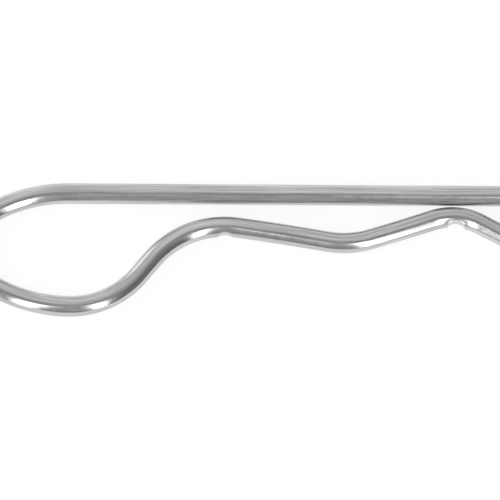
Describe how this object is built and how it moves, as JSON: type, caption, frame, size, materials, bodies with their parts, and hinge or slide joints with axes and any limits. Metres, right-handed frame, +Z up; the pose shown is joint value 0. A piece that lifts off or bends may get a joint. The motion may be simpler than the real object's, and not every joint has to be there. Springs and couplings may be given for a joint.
{
  "type": "hitch pin r clip",
  "caption": "Spring-wire R clip: a straight leg turns back round an open loop into a wavy sprung leg that snaps over a pin's shaft to keep the pin in place.",
  "frame": {"origin": "middle of the part's box in plan, on the surface that it lies on", "axes": "+X along the straight leg towards its free end, +Y from the sprung leg towards the straight leg, +Z up, across the plane of the wire form"},
  "size_m": [0.0936, 0.021, 0.0032],
  "materials": {
    "bright_zinc": "bright zinc plate over drawn spring-steel wire"
  },
  "bodies": {
    "root": {"r_clip": "bright_zinc"}
  },
  "joints": []
}
